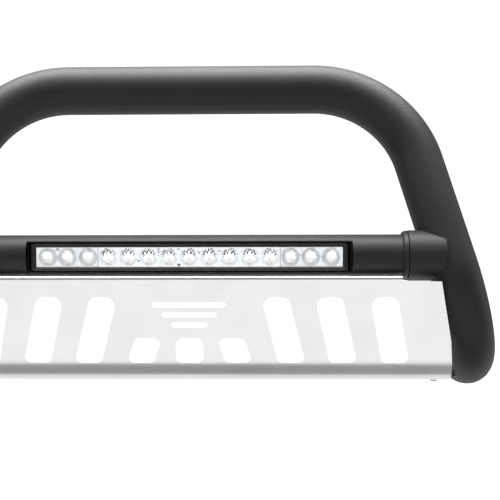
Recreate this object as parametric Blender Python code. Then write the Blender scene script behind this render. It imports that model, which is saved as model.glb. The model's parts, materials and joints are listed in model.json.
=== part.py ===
"""Front grille guard: a bent hoop, a light tube held in two sockets, and a slotted skid plate.

Metres, +Z up, +X to the guard's left-hand end as seen from the vehicle, +Y back towards the vehicle.
The origin is the point midway between the rear faces of the two mounting flanges.
Everything hangs on one empty at the middle of the light tube's axis, and the measures below are from it.
"""

import math

import bmesh
import bpy
from mathutils import Matrix, Vector

MM = 0.001
GAP = 0.4 * MM  # between pieces that touch
RUN_GAP = 0.5 * MM  # around the light tube, which turns

# The hoop: a 3 inch tube, bent at four corners.
HOOP_R = 38.1 * MM
HOOP_WALL = 2.6 * MM
TOP_CORNER = Vector((322.8, 96.0, 255.6)) * MM
LOW_CORNER = Vector((453.0, -62.0, -182.0)) * MM
REAR_END = Vector((436.0, 249.6, -182.0)) * MM
TOP_BEND_R = 169 * MM
LOW_BEND_R = 133 * MM
HOOP_SIDES = 20

# The mounting flanges on the hoop's rear ends.
FLANGE_T = 8 * MM
FLANGE_SIZE = 100 * MM
FLANGE_HOLE_SPACING = 70 * MM
FLANGE_HOLE_R = 6.6 * MM
FLANGE_REAR = 258 * MM

# The light tube, a 65 mm tube with a pocket cut in its front.
TUBE_R = 32.5 * MM
TUBE_WALL = 3.0 * MM
TUBE_HALF = 344 * MM
POCKET_HALF_X = 248.9 * MM
POCKET_HALF_Z = 24.9 * MM
POCKET_R = 2.5 * MM
POCKET_BACK = -4 * MM

# The sockets that hold the light tube's ends, and their flanged bushes.
SOCKET_R = 38.7 * MM
SOCKET_WALL = 2.9 * MM
SEAM_X = 334 * MM
LIP_X = 325 * MM
SOCKET_END = 391 * MM
BUSH_END = 345 * MM
CLAMP_X = 339.6 * MM
BUSH_T = SOCKET_R - SOCKET_WALL - GAP - TUBE_R - RUN_GAP

# The lamp, a single row of fifteen emitters.
LED_COUNT = 15
LED_PITCH = 30.95 * MM
SPOT_COUNT = 9
WINDOW_HALF = Vector((235.0, 0, 15.3)) * MM
LAMP_HALF_X = 237.6 * MM
LAMP_HALF_Z = 20.6 * MM
LAMP_WALL = 2.2 * MM
LAMP_FRONT = -20.4 * MM
LAMP_FLOOR = -4.4 * MM
LAMP_FLOOR_T = 3.0 * MM
FIN_DEPTH = 14 * MM
FIN_COUNT = 7
CAP_T = 4.4 * MM
LENS_T = 2.0 * MM
BOARD_T = 1.6 * MM
CUP_FRONT_R = 13.6 * MM
CUP_BACK_R = 4.6 * MM
EMITTER_DROP = 5.5 * MM  # the emitters sit below the middle of their cups
LAMP_BOLT_X = 150 * MM
GLAND_X = 205 * MM

# The skid plate: corners of its front face as (y, z), from the flange under the light tube down to the flange
# that runs back under the guard, and the radius of the bend at each inner corner.
PLATE_T = 2.0 * MM
PLATE_LINE = ((-15, -36.0), (-46.5, -23.6), (-0.6, -200.5), (76, -200.5))
PLATE_BENDS = ((5.0, 6), (60.0, 10))  # radius and steps
PLATE_BOTTOM = PLATE_LINE[-1][1] * MM
PLATE_HALF_TOP = 381.5 * MM
PLATE_HALF_LOW = 400 * MM
PLATE_HALF_BOTTOM = 405 * MM
NOTCH_X = 322 * MM
FLANGE_NOTCH_Z = -45 * MM
NOTCH_Z = -34.9 * MM
NOTCH_R = 3 * MM
LEG_GAP = 1.2 * MM

# Slots: centre x at mid height and how far the sides lean from upright, in degrees.
TALL_SLOTS = ((144.0, 14.6), (224.5, 13.0), (306.0, 11.3))
SHORT_SLOTS = ((0.0, 0.0), (69.7, 18.8))
SLOT_WIDTH = 41.2 * MM
TALL_TOP = -59.6 * MM
TALL_TOP_R = 14 * MM
SHORT_TOP = -126 * MM
SHORT_TOP_R = 9 * MM
SLOT_BOTTOM = -165.2 * MM
SLOT_LOW_R = 8 * MM
BAR_CUTS = ((112, -72), (84, -88), (56, -104))  # length and height of each level slot
BAR_CUT_H = 9 * MM

# Fasteners.
M6_R = 3.0 * MM
M8_R = 4.0 * MM
HOLE_OVER = 0.5 * MM
WASHER_T = 1.6 * MM
TAB_T = 4 * MM
LOW_BOLT_X = 385 * MM
LOW_BOLT_Y = 66 * MM
LOW_TAB_HALF = 9 * MM
STUD_X = 366 * MM
STUD_DOWN = 53.5 * MM  # along the plate's face, from its upper bend


def clear_scene():
    for thing in list(bpy.data.objects):
        bpy.data.objects.remove(thing, do_unlink=True)


def make_material(name, color, metallic, roughness):
    made = bpy.data.materials.new(name)
    made.use_nodes = True
    shader = made.node_tree.nodes["Principled BSDF"]
    shader.inputs["Base Color"].default_value = (*color, 1.0)
    shader.inputs["Metallic"].default_value = metallic
    shader.inputs["Roughness"].default_value = roughness
    return made


clear_scene()
frame = bpy.data.objects.new("light_axis", None)
frame.location = (0, -FLANGE_REAR, -LOW_CORNER.z)
bpy.context.scene.collection.objects.link(frame)

BLACK_COAT = make_material("black_coat", (0.03, 0.03, 0.032), 0.0, 0.55)
STAINLESS = make_material("stainless", (0.78, 0.78, 0.77), 1.0, 0.3)
ZINC = make_material("zinc_steel", (0.55, 0.56, 0.56), 1.0, 0.35)
NYLON = make_material("black_nylon", (0.02, 0.02, 0.02), 0.0, 0.5)
RUBBER = make_material("black_rubber", (0.015, 0.015, 0.015), 0.0, 0.8)
CAST = make_material("black_aluminium", (0.05, 0.05, 0.052), 0.3, 0.45)
CLEAR = make_material("clear_lens", (0.9, 0.92, 0.93), 0.0, 0.05)
MIRROR = make_material("mirror_plating", (0.85, 0.86, 0.87), 1.0, 0.08)
BOARD = make_material("white_board", (0.85, 0.85, 0.8), 0.0, 0.5)


def add_object(name, mesh, material):
    made = bpy.data.objects.new(name, mesh)
    made.data.materials.append(material)
    made.parent = frame
    bpy.context.scene.collection.objects.link(made)
    return made


def finish(name, bm, material, sharp=35):
    """Turns a bmesh into a named object with its faces out and its round sides smooth."""
    bmesh.ops.recalc_face_normals(bm, faces=bm.faces)
    mesh = bpy.data.meshes.new(name)
    bm.to_mesh(mesh)
    bm.free()
    mesh.shade_smooth()
    mesh.set_sharp_from_angle(angle=math.radians(sharp))
    return add_object(name, mesh, material)


def cutter(made):
    made.hide_render = True
    made.display_type = "WIRE"
    return made


def cut(made, tool, operation="DIFFERENCE"):
    step = made.modifiers.new(tool.name, "BOOLEAN")
    step.operation = operation
    step.solver = "EXACT"
    step.object = tool


def skin(bm, rings, joined=False):
    """Faces between neighbouring rings of vertices, and over the first and last ring."""
    pairs = list(zip(rings, rings[1:]))
    if joined:
        pairs.append((rings[-1], rings[0]))
    for one, two in pairs:
        count = max(len(one), len(two))
        for k in range(count):
            face = [one[k % len(one)], one[(k + 1) % len(one)], two[(k + 1) % len(two)], two[k % len(two)]]
            bm.faces.new(list(dict.fromkeys(face)))
    if not joined:
        for ring in (rings[0], rings[-1]):
            if len(ring) > 2:
                bm.faces.new(ring)


AXES = {
    "X": Matrix(((0, 0, 1), (1, 0, 0), (0, 1, 0))).to_4x4(),
    "Y": Matrix(((1, 0, 0), (0, 0, 1), (0, -1, 0))).to_4x4(),
    "Z": Matrix.Identity(4),
}


def turned(name, profile, place, material, sides=24, ring=False):
    """A turned piece: (distance along the axis, radius) points spun. A ring has no point on the axis."""
    bm = bmesh.new()
    rings = []
    for along, radius in profile:
        if radius == 0:
            rings.append([bm.verts.new((0, 0, along))])
            continue
        turns = [2 * math.pi * k / sides for k in range(sides)]
        rings.append([bm.verts.new((radius * math.cos(t), radius * math.sin(t), along)) for t in turns])
    skin(bm, rings, joined=ring)
    bm.transform(place)
    return finish(name, bm, material)


def at(x, y, z, axis="Z"):
    return Matrix.Translation((x, y, z)) @ AXES[axis]


def prism(name, outline, low, high, place, material):
    """A flat outline in the local XY plane, extruded from z = low to z = high."""
    bm = bmesh.new()
    rings = [[bm.verts.new((x, y, z)) for x, y in outline] for z in (low, high)]
    skin(bm, rings)
    bm.transform(place)
    return finish(name, bm, material)


def rounded(half_x, half_y, radius, steps=4):
    """A rounded rectangle about the middle."""
    points = []
    for quarter, (sx, sy) in enumerate(((1, 1), (-1, 1), (-1, -1), (1, -1))):
        for k in range(steps + 1):
            turn = math.pi / 2 * (quarter + k / steps)
            x = sx * (half_x - radius) + radius * math.cos(turn)
            y = sy * (half_y - radius) + radius * math.sin(turn)
            points.append((x, y))
    return points


def fillet(before, corner, after, radius, steps=10):
    """The arc of a given radius that rounds a corner."""
    one = (before - corner).normalized()
    two = (after - corner).normalized()
    half = one.angle(two) / 2
    centre = corner + (one + two).normalized() * (radius / math.sin(half))
    start = corner + one * (radius / math.tan(half)) - centre
    end = corner + two * (radius / math.tan(half)) - centre
    return [centre + start.slerp(end, k / steps).normalized() * radius for k in range(steps + 1)]


def mirrored(point):
    return Vector((-point.x, point.y, point.z))


def hoop_path():
    """The hoop's centre line, from one rear end over the top to the other."""
    middle = Vector((0, TOP_CORNER.y, TOP_CORNER.z))
    half = [REAR_END]
    half += fillet(REAR_END, LOW_CORNER, TOP_CORNER, LOW_BEND_R, 10)
    half += fillet(LOW_CORNER, TOP_CORNER, middle, TOP_BEND_R, 8)
    return half + [mirrored(point) for point in reversed(half)]


def swept_rings(bm, path, radius, sides):
    """Rings of vertices square to a path, without twist."""
    rings = []
    side = Vector((1, 0, 0))
    for k, point in enumerate(path):
        ahead = path[min(k + 1, len(path) - 1)] - point
        behind = point - path[max(k - 1, 0)]
        tangent = (ahead.normalized() + behind.normalized()).normalized()
        side = (side - side.project(tangent)).normalized()
        other = tangent.cross(side)
        ring = []
        for j in range(sides):
            turn = 2 * math.pi * j / sides
            ring.append(bm.verts.new(point + (side * math.cos(turn) + other * math.sin(turn)) * radius))
        rings.append(ring)
    return rings


def square_off(rings, path):
    """Slides the end rings along the tube until they are square to Y, flat against the flanges."""
    for ring, end, near in ((rings[0], path[0], path[1]), (rings[-1], path[-1], path[-2])):
        along = (end - near) / (end.y - near.y)
        for vertex in ring:
            vertex.co += along * (REAR_END.y - vertex.co.y)


def make_hoop():
    bm = bmesh.new()
    path = hoop_path()
    outer = swept_rings(bm, path, HOOP_R, HOOP_SIDES)
    inner = swept_rings(bm, path, HOOP_R - HOOP_WALL, HOOP_SIDES)
    square_off(outer, path)
    square_off(inner, path)
    skin(bm, outer + inner[::-1], joined=True)
    finish("hoop_tube", bm, BLACK_COAT)


def make_leg_cutter(name, over):
    """The hoop's outside grown by a gap, which trims what meets it."""
    bm = bmesh.new()
    skin(bm, swept_rings(bm, hoop_path(), HOOP_R + over, HOOP_SIDES))
    return cutter(finish(name, bm, BLACK_COAT))


def make_flange(name, sign):
    outline = rounded(FLANGE_SIZE / 2, FLANGE_SIZE / 2, 12 * MM)
    place = at(sign * REAR_END.x, FLANGE_REAR, LOW_CORNER.z, "Y")
    flange = prism(name, outline, -FLANGE_T, 0, place, BLACK_COAT)
    for kx in (-1, 1):
        for kz in (-1, 1):
            x = sign * REAR_END.x + kx * FLANGE_HOLE_SPACING / 2
            z = LOW_CORNER.z + kz * FLANGE_HOLE_SPACING / 2
            tool = turned(f"{name}_hole_{kx}_{kz}", solid_bar(FLANGE_HOLE_R, -0.03, 0.03),
                          at(x, FLANGE_REAR, z, "Y"), BLACK_COAT, 16)
            cut(flange, cutter(tool))


def solid_bar(radius, low, high):
    return ((low, 0), (low, radius), (high, radius), (high, 0))


def make_socket(name, sign, leg):
    """A sleeve welded to the leg, cut round to the leg's outside, with two clamp screws behind."""
    inner = SOCKET_R - SOCKET_WALL
    edge = 1.2 * MM
    floor = BUSH_END + 3 * MM
    profile = ((floor, 0), (floor, inner), (SEAM_X, inner), (SEAM_X, SOCKET_R - edge),
               (SEAM_X + edge, SOCKET_R),
               (SOCKET_END - 2 * edge, SOCKET_R), (SOCKET_END, SOCKET_R - 2 * edge), (SOCKET_END, 0))
    socket = turned(name, [(sign * a, r) for a, r in profile], at(0, 0, 0, "X"), BLACK_COAT, 36)
    cut(socket, leg)
    return socket


def make_bush(name, sign):
    """A flanged bush: its lip is the ring that shows between the light tube and the socket."""
    inner = TUBE_R + RUN_GAP
    outer = inner + BUSH_T
    profile = (
        (LIP_X, inner), (LIP_X, inner + 1.2 * MM), (LIP_X + 5 * MM, SOCKET_R - 0.6 * MM),
        (SEAM_X - GAP, SOCKET_R - 0.6 * MM), (SEAM_X - GAP, outer), (BUSH_END, outer), (BUSH_END, inner),
    )
    return turned(name, [(sign * a, r) for a, r in profile], at(0, 0, 0, "X"), NYLON, 36, ring=True)


def make_clamp_screws(socket, bush, side, sign):
    """Two screws that press on the light tube from behind the socket."""
    for word, tilt in (("upper", 35), ("lower", -35)):
        turn = Matrix.Rotation(math.radians(tilt), 4, "X")
        place = turn @ at(sign * CLAMP_X, 0, 0, "Y")
        bar = solid_bar(M6_R + HOLE_OVER, 20 * MM, 60 * MM)
        tool = turned(f"clamp_{side}_{word}_hole", bar, place, ZINC, 12)
        cut(socket, cutter(tool))
        cut(bush, tool)
        tip = TUBE_R + RUN_GAP
        head = SOCKET_R + 0.5 * MM
        profile = ((tip, 0), (tip, M6_R - 0.8 * MM), (tip + 0.8 * MM, M6_R), (head, M6_R), (head, 5 * MM),
                   (head + 5 * MM, 5 * MM), (head + 6 * MM, 4.2 * MM), (head + 6 * MM, 2.2 * MM),
                   (head + 3 * MM, 2.2 * MM), (head + 3 * MM, 0))
        turned(f"clamp_screw_{side}_{word}", profile, place, ZINC, 12)


def make_light_tube():
    inner = TUBE_R - TUBE_WALL
    profile = ((-TUBE_HALF, inner), (-TUBE_HALF, TUBE_R), (TUBE_HALF, TUBE_R), (TUBE_HALF, inner))
    tube = turned("light_tube", profile, at(0, 0, 0, "X"), BLACK_COAT, 48, ring=True)
    outline = rounded(POCKET_HALF_X, POCKET_HALF_Z, POCKET_R)
    pocket = prism("pocket_cut", outline, -50 * MM, POCKET_BACK, at(0, 0, 0, "Y"), BLACK_COAT)
    cut(tube, cutter(pocket))
    for sign in (-1, 1):
        hole = turned(f"lamp_bolt_hole_{sign}", solid_bar(M6_R + HOLE_OVER, 20 * MM, 50 * MM),
                      at(sign * LAMP_BOLT_X, 0, 0, "Y"), ZINC, 16)
        cut(tube, cutter(hole))
    hole = turned("gland_hole", solid_bar(6.2 * MM, 20 * MM, 50 * MM), at(GLAND_X, 0, 0, "Y"), ZINC, 16)
    cut(tube, cutter(hole))


def framed(name, profile, half_x, half_z, radius, material):
    """A rectangular ring in the XZ plane. The profile's points are (inset from the outline, y)."""
    bm = bmesh.new()
    rings = []
    for inset, y in profile:
        corner = max(radius - inset, 1.0 * MM)
        outline = rounded(half_x - inset, half_z - inset, corner, 3)
        rings.append([bm.verts.new((x, y, z)) for x, z in outline])
    skin(bm, rings, joined=True)
    return finish(name, bm, material)


def make_pocket_frame():
    """The liner of the pocket, with a sloping front edge."""
    front = -20.8 * MM
    profile = ((0, front), (1.1 * MM, front - 0.4 * MM), (3.0 * MM, front + 3.6 * MM), (3.0 * MM, -13 * MM),
               (0, -13 * MM))
    half_x = POCKET_HALF_X - GAP
    half_z = POCKET_HALF_Z - GAP
    framed("pocket_frame", profile, half_x, half_z, POCKET_R - GAP, BLACK_COAT)


def lamp_section():
    """The housing's section in (y, z): a tray with a finned back."""
    wall = LAMP_HALF_Z - LAMP_WALL
    back = LAMP_FLOOR + LAMP_FLOOR_T
    points = [(LAMP_FLOOR, -wall), (LAMP_FRONT, -wall), (LAMP_FRONT, -LAMP_HALF_Z), (back, -LAMP_HALF_Z)]
    pitch = 2 * (LAMP_HALF_Z - 2.5 * MM) / (FIN_COUNT - 1)
    for k in range(FIN_COUNT):
        z = -LAMP_HALF_Z + 2.5 * MM + k * pitch
        points += [(back, z - 1.1 * MM), (back + FIN_DEPTH, z - 0.8 * MM), (back + FIN_DEPTH, z + 0.8 * MM),
                   (back, z + 1.1 * MM)]
    points += [(back, LAMP_HALF_Z), (LAMP_FRONT, LAMP_HALF_Z), (LAMP_FRONT, wall), (LAMP_FLOOR, wall)]
    return points


YZ_TO_X = AXES["X"]  # an outline in (y, z), extruded along X
UPRIGHT = Matrix.Rotation(math.pi / 2, 4, "X")  # an outline in (x, z), extruded towards the front


def make_lamp_housing():
    housing = prism("lamp_housing", lamp_section(), -LAMP_HALF_X, LAMP_HALF_X, YZ_TO_X, CAST)
    for sign in (-1, 1):
        hole = turned(f"housing_bolt_hole_{sign}", solid_bar(M6_R + HOLE_OVER, -0.6 * MM, 30 * MM),
                      at(sign * LAMP_BOLT_X, 0, 0, "Y"), ZINC, 16)
        cut(housing, cutter(hole))


def make_lamp_end(side, sign):
    """An end cap with two screws that hold it on the housing."""
    back = LAMP_FLOOR + LAMP_FLOOR_T + FIN_DEPTH
    depth = back - LAMP_FRONT
    middle = (back + LAMP_FRONT) / 2
    place = Matrix.Translation((sign * (LAMP_HALF_X + GAP), middle, 0)) @ YZ_TO_X
    low = min(0, sign * CAP_T)
    outline = rounded(depth / 2, LAMP_HALF_Z, 4 * MM, 3)
    cap = prism(f"lamp_end_cap_{side}", outline, low, low + CAP_T, place, CAST)
    for word, up in (("upper", 1), ("lower", -1)):
        y = -2.9 * MM
        z = up * 13 * MM
        cap_out = LAMP_HALF_X + GAP + CAP_T
        place = at(0, y, z, "X")
        bar = solid_bar(1.2 * MM, sign * 0.2, sign * 0.26)
        tool = turned(f"cap_hole_{side}_{word}", bar, place, ZINC, 12)
        cut(cap, cutter(tool))
        head = cap_out + 0.3 * MM
        profile = ((LAMP_HALF_X + 0.2 * MM, 0), (LAMP_HALF_X + 0.2 * MM, 0.9 * MM), (head, 0.9 * MM),
                   (head, 2.8 * MM), (head + 1.6 * MM, 2.4 * MM), (head + 1.6 * MM, 0))
        turned(f"cap_screw_{side}_{word}", [(sign * a, r) for a, r in profile], place, ZINC, 12)


def make_lamp_front():
    """The bezel, the clear lens behind its lip and the seal under the lens."""
    lip = -23.2 * MM
    border = LAMP_HALF_Z - WINDOW_HALF.z
    half_x = WINDOW_HALF.x + border
    profile = ((0, LAMP_FRONT - GAP), (0, lip + 0.8 * MM), (0.8 * MM, lip), (border - 1.4 * MM, lip),
               (border, lip + 1.2 * MM), (border, LAMP_FRONT - GAP))
    framed("lamp_bezel", profile, half_x, LAMP_HALF_Z, 3 * MM, CAST)
    lens_x = LAMP_HALF_X - 1 * MM
    lens_z = LAMP_HALF_Z - LAMP_WALL - GAP
    front = LAMP_FRONT
    prism("lamp_lens", rounded(lens_x, lens_z, 2.5 * MM, 3), front, front + LENS_T, at(0, 0, 0, "Y"), CLEAR)
    seal = front + LENS_T + 0.3 * MM
    profile = ((0, seal), (1.9 * MM, seal), (1.9 * MM, seal + 1 * MM), (0, seal + 1 * MM))
    framed("lens_seal", profile, lens_x, lens_z, 2.5 * MM, RUBBER)


def make_cup_cutter(name, x, front, back):
    """The inside of a cup: a cone that leans down to its emitter, run on past the block at both ends."""
    over = 2 * MM
    part = over / (back - front)
    wide = CUP_FRONT_R + (CUP_FRONT_R - CUP_BACK_R) * part
    rows = ((front - over, wide, EMITTER_DROP * part), (back, CUP_BACK_R, -EMITTER_DROP),
            (back + over, CUP_BACK_R, -EMITTER_DROP))
    turns = [2 * math.pi * k / 20 for k in range(20)]
    bm = bmesh.new()
    rings = [[bm.verts.new((x + r * math.cos(t), y, up + r * math.sin(t))) for t in turns]
             for y, r, up in rows]
    skin(bm, rings)
    return cutter(finish(name, bm, MIRROR))


def make_reflector(name, first, last):
    """A plated block with one conical cup for each emitter, out to the window's edge at the bezel's ends."""
    front = LAMP_FRONT + LENS_T + 0.7 * MM
    back = LAMP_FLOOR - GAP - BOARD_T - 2.2 * MM
    edge = LED_COUNT // 2
    low = (first - 0.5) * LED_PITCH + GAP if first > -edge else -WINDOW_HALF.x + 0.7 * MM
    high = (last + 0.5) * LED_PITCH - GAP if last < edge else WINDOW_HALF.x - 0.7 * MM
    half = WINDOW_HALF.z - 0.1 * MM
    place = Matrix.Translation(((low + high) / 2, 0, 0)) @ AXES["Y"]
    block = prism(name, rounded((high - low) / 2, half, 1.5 * MM, 2), front, back, place, MIRROR)
    for k in range(first, last + 1):
        cut(block, make_cup_cutter(f"{name}_cup_{k}", k * LED_PITCH, front, back))


def make_led_board():
    """The board on the housing's floor, with its emitters standing on it in one piece."""
    back = LAMP_FLOOR - GAP
    front = back - BOARD_T
    outline = rounded(LAMP_HALF_X - 4 * MM, 14 * MM, 2 * MM, 2)
    board = prism("led_board", outline, front, back, at(0, 0, 0, "Y"), BOARD)
    half = LED_COUNT // 2
    for k in range(-half, half + 1):
        place = at(k * LED_PITCH, 0, -EMITTER_DROP, "Y")
        bar = solid_bar(2.6 * MM, front - 1.6 * MM, front + 0.5 * MM)
        chip = turned(f"emitter_{k}", bar, place, BOARD, 8)
        cut(board, cutter(chip), "UNION")


def hex_nut(low, high, across, hole):
    """Profile of a six-sided nut."""
    corner = across / 2 / math.cos(math.pi / 6)
    bore = hole / math.cos(math.pi / 6)
    return ((low, bore), (low, corner), (high, corner), (high, bore))


def make_bolt(name, radius, across, head_h, length, place, material):
    """A bolt whose head stands above z = 0 and whose shank runs to z = -length, in one piece."""
    bm = bmesh.new()
    sides = 12
    corner = across / 2 / math.cos(math.pi / 6)
    rings = []
    for along, size, six in ((-length, radius - 0.6 * MM, 0), (-length + 0.6 * MM, radius, 0), (0, radius, 0),
                             (0, corner, 1), (head_h, corner, 1)):
        ring = []
        for k in range(sides):
            turn = 2 * math.pi * k / sides
            flat = math.cos(math.pi / 6) if six and k % 2 else 1.0
            ring.append(bm.verts.new((size * flat * math.cos(turn), size * flat * math.sin(turn), along)))
        rings.append(ring)
    skin(bm, rings)
    bm.transform(place)
    return finish(name, bm, material)


def make_lamp_bolt(side, sign):
    """A bolt from behind the light tube into the lamp's back."""
    place = at(sign * LAMP_BOLT_X, TUBE_R + 0.5 * MM, 0, "Y")
    make_bolt(f"lamp_bolt_{side}", M6_R, 10 * MM, 4 * MM, 32 * MM, place, ZINC)


def make_gland():
    """The cable gland in the light tube's back."""
    inside = TUBE_R - TUBE_WALL - 1.7 * MM
    outside = TUBE_R + 0.4 * MM
    profile = ((inside - 3 * MM, 3 * MM), (inside - 3 * MM, 8 * MM), (inside, 8 * MM), (inside, 5.7 * MM),
               (outside, 5.7 * MM), (outside, 9 * MM), (outside + 3 * MM, 9 * MM),
               (outside + 5 * MM, 6.5 * MM),
               (outside + 10 * MM, 5 * MM), (outside + 10 * MM, 3 * MM))
    turned("cable_gland", profile, at(GLAND_X, 0, 0, "Y"), RUBBER, 20, ring=True)


def bent_strip():
    """The plate's section: its front line rounded at each bend, and the same line set back a thickness."""
    line = [Vector((y, z, 0)) * MM for y, z in PLATE_LINE]
    front = [line[0]]
    for corner, (radius, steps) in zip(range(1, len(line) - 1), PLATE_BENDS):
        front += fillet(line[corner - 1], line[corner], line[corner + 1], radius * MM, steps)
    front.append(line[-1])
    behind = []
    for k, point in enumerate(front):
        ahead = front[min(k + 1, len(front) - 1)]
        past = front[max(k - 1, 0)]
        along = (ahead - past).normalized()
        behind.append(point + Vector((-along.y, along.x, 0)) * PLATE_T)
    return [tuple(p.xy) for p in front] + [tuple(p.xy) for p in reversed(behind)]


def make_plate(leg):
    """The skid plate: a bent sheet between the legs, notched under the sockets, with its slots cut."""
    plate = prism("skid_plate", bent_strip(), -PLATE_HALF_BOTTOM, PLATE_HALF_BOTTOM, YZ_TO_X, STAINLESS)
    low = PLATE_BOTTOM - 30 * MM
    side = ((PLATE_HALF_TOP, 0), (PLATE_HALF_TOP, NOTCH_Z - 1 * MM), (PLATE_HALF_LOW, -130 * MM),
            (PLATE_HALF_BOTTOM, -188 * MM), (PLATE_HALF_BOTTOM - 4 * MM, low))
    outline = list(side) + [(-x, z) for x, z in reversed(side)]
    keep = prism("plate_outline", outline, -80 * MM, 80 * MM, UPRIGHT, STAINLESS)
    cut(plate, cutter(keep), "INTERSECT")
    for sign, word in ((-1, "left"), (1, "right")):
        half = 50 * MM
        height = 20 * MM
        place = Matrix.Translation((sign * (NOTCH_X + half), 0, NOTCH_Z + height)) @ UPRIGHT
        notch = prism(f"notch_{word}", rounded(half, height, NOTCH_R, 3), -80 * MM, 80 * MM, place, STAINLESS)
        cut(plate, cutter(notch))
        place = Matrix.Translation((sign * (NOTCH_X + half), 0, FLANGE_NOTCH_Z + height)) @ UPRIGHT
        notch = prism(f"flange_notch_{word}", rounded(half, height, NOTCH_R, 3), -80 * MM, 39 * MM, place,
                      STAINLESS)
        cut(plate, cutter(notch))
    cut(plate, leg)
    for tool in slot_cutters():
        cut(plate, cutter(tool))
    return plate


def leaning_slot(x, lean, top, top_radius):
    """A slot's outline: level ends, and sides that lean outwards at the foot."""
    middle = (top + SLOT_BOTTOM) / 2
    slope = math.tan(math.radians(lean))
    ends = ((top, 1, top_radius), (top, -1, top_radius),
            (SLOT_BOTTOM, -1, SLOT_LOW_R), (SLOT_BOTTOM, 1, SLOT_LOW_R))
    corners = [Vector((x + edge * SLOT_WIDTH / 2 - (z - middle) * slope, z, 0)) for z, edge, _ in ends]
    outline = []
    for k, (_, _, radius) in enumerate(ends):
        outline += fillet(corners[k - 1], corners[k], corners[(k + 1) % 4], radius, 4)
    return [tuple(p.xy) for p in outline]


def slot_cutters():
    tools = []
    slots = [(x, lean, TALL_TOP, TALL_TOP_R) for x, lean in TALL_SLOTS]
    slots += [(x, lean, SHORT_TOP, SHORT_TOP_R) for x, lean in SHORT_SLOTS]
    for x, lean, top, radius in slots:
        for sign in ((-1, 1) if x else (1,)):
            outline = leaning_slot(sign * x * MM, sign * lean, top, radius)
            tools.append(prism(f"slot_{sign * int(x)}", outline, -60 * MM, 60 * MM, UPRIGHT, STAINLESS))
    for k, (length, z) in enumerate(BAR_CUTS):
        outline = rounded(length / 2 * MM, BAR_CUT_H / 2, BAR_CUT_H / 2 - 0.1 * MM)
        tools.append(prism(f"bar_cut_{k}", outline, -60 * MM, 60 * MM, at(0, 0, z * MM, "Y"), STAINLESS))
    return tools


def plate_face_frame(sign, down):
    """The frame of a spot on the back of the plate: x along the guard, y up the face, z out of its back."""
    top = Vector(PLATE_LINE[1]) * MM
    low = Vector(PLATE_LINE[2]) * MM
    along = (low - top).normalized()
    back = Vector((-along.y, along.x))
    spot = top + along * down + back * PLATE_T
    columns = Matrix(((1, 0, 0), (0, -along.x, back.x), (0, -along.y, back.y))).to_4x4()
    return Matrix.Translation((sign * STUD_X, spot.x, spot.y)) @ columns


def make_upper_fixing(side, sign, leg):
    """A tab on the leg behind the plate, the plate's weld stud through it, and the stud's nut."""
    place = plate_face_frame(sign, STUD_DOWN)
    low = 1.8 * MM
    stud = ((0.4 * MM, 0), (0.4 * MM, 5.5 * MM), (1.3 * MM, 5.5 * MM), (1.3 * MM, M8_R), (19 * MM, M8_R),
            (20 * MM, M8_R - 1 * MM), (20 * MM, 0))
    turned(f"plate_stud_{side}", stud, place, ZINC, 16)
    reach = 56 * MM
    inner = 14 * MM
    shape = rounded((reach + inner) / 2, 18 * MM, 4 * MM, 3)
    outline = [(x + sign * (reach - inner) / 2, y) for x, y in shape]
    tab = prism(f"upper_tab_{side}", outline, low, low + TAB_T, place, BLACK_COAT)
    cut(tab, leg)
    tool = turned(f"stud_hole_{side}", solid_bar(M8_R + HOLE_OVER, -5 * MM, 25 * MM), place, ZINC, 16)
    cut(tab, cutter(tool))
    seat = low + TAB_T + GAP
    nut = hex_nut(seat, seat + 6.5 * MM, 13 * MM, M8_R + 0.4 * MM)
    turned(f"stud_nut_{side}", nut, place, ZINC, 6, ring=True)


def make_lower_fixing(side, sign, leg, plate):
    """A tab under the leg, and the bolt, washer and nut that hold the plate's lower flange to it."""
    over = PLATE_BOTTOM + PLATE_T + 1.2 * MM
    x = sign * LOW_BOLT_X
    near = LOW_BOLT_X - 14 * MM
    far = 431 * MM
    rise = -150 * MM
    section = ((near, over), (far, over), (far, rise), (far - TAB_T, rise), (far - TAB_T, over + TAB_T),
               (near, over + TAB_T))
    place = Matrix.Translation((0, LOW_BOLT_Y, 0)) @ UPRIGHT
    outline = [(sign * a, b) for a, b in section]
    tab = prism(f"lower_tab_{side}", outline, -LOW_TAB_HALF, LOW_TAB_HALF, place, BLACK_COAT)
    cut(tab, leg)
    place = at(x, LOW_BOLT_Y, 0)
    tool = turned(f"lower_hole_{side}", solid_bar(M8_R + HOLE_OVER, -230 * MM, -180 * MM), place, ZINC, 16)
    cut(tab, cutter(tool))
    cut(plate, tool)
    washer = PLATE_BOTTOM - GAP - WASHER_T
    turned(f"lower_washer_{side}", ((washer, M8_R + GAP), (washer, 8 * MM), (washer + WASHER_T, 8 * MM),
                                    (washer + WASHER_T, M8_R + GAP)), place, ZINC, 20, ring=True)
    down = place @ Matrix.Translation((0, 0, washer - GAP)) @ Matrix.Rotation(math.pi, 4, "X")
    dome = [(0.6 * MM + 3.8 * MM * math.sin(t), 3.2 * MM + 3.8 * MM * math.cos(t))
            for t in (0, math.pi / 6, math.pi / 3, math.pi / 2)]
    profile = [(-22 * MM, 0), (-22 * MM, M8_R - 0.6 * MM), (-21.4 * MM, M8_R), (0, M8_R), (0, 7 * MM)] + dome
    profile += [(4.4 * MM, 2.5 * MM), (2 * MM, 2.5 * MM), (2 * MM, 0)]
    turned(f"lower_bolt_{side}", profile, down, ZINC, 16)
    seat = over + TAB_T + GAP
    nut = hex_nut(seat, seat + 6.5 * MM, 13 * MM, M8_R + 0.4 * MM)
    turned(f"lower_nut_{side}", nut, place, ZINC, 6, ring=True)


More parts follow.
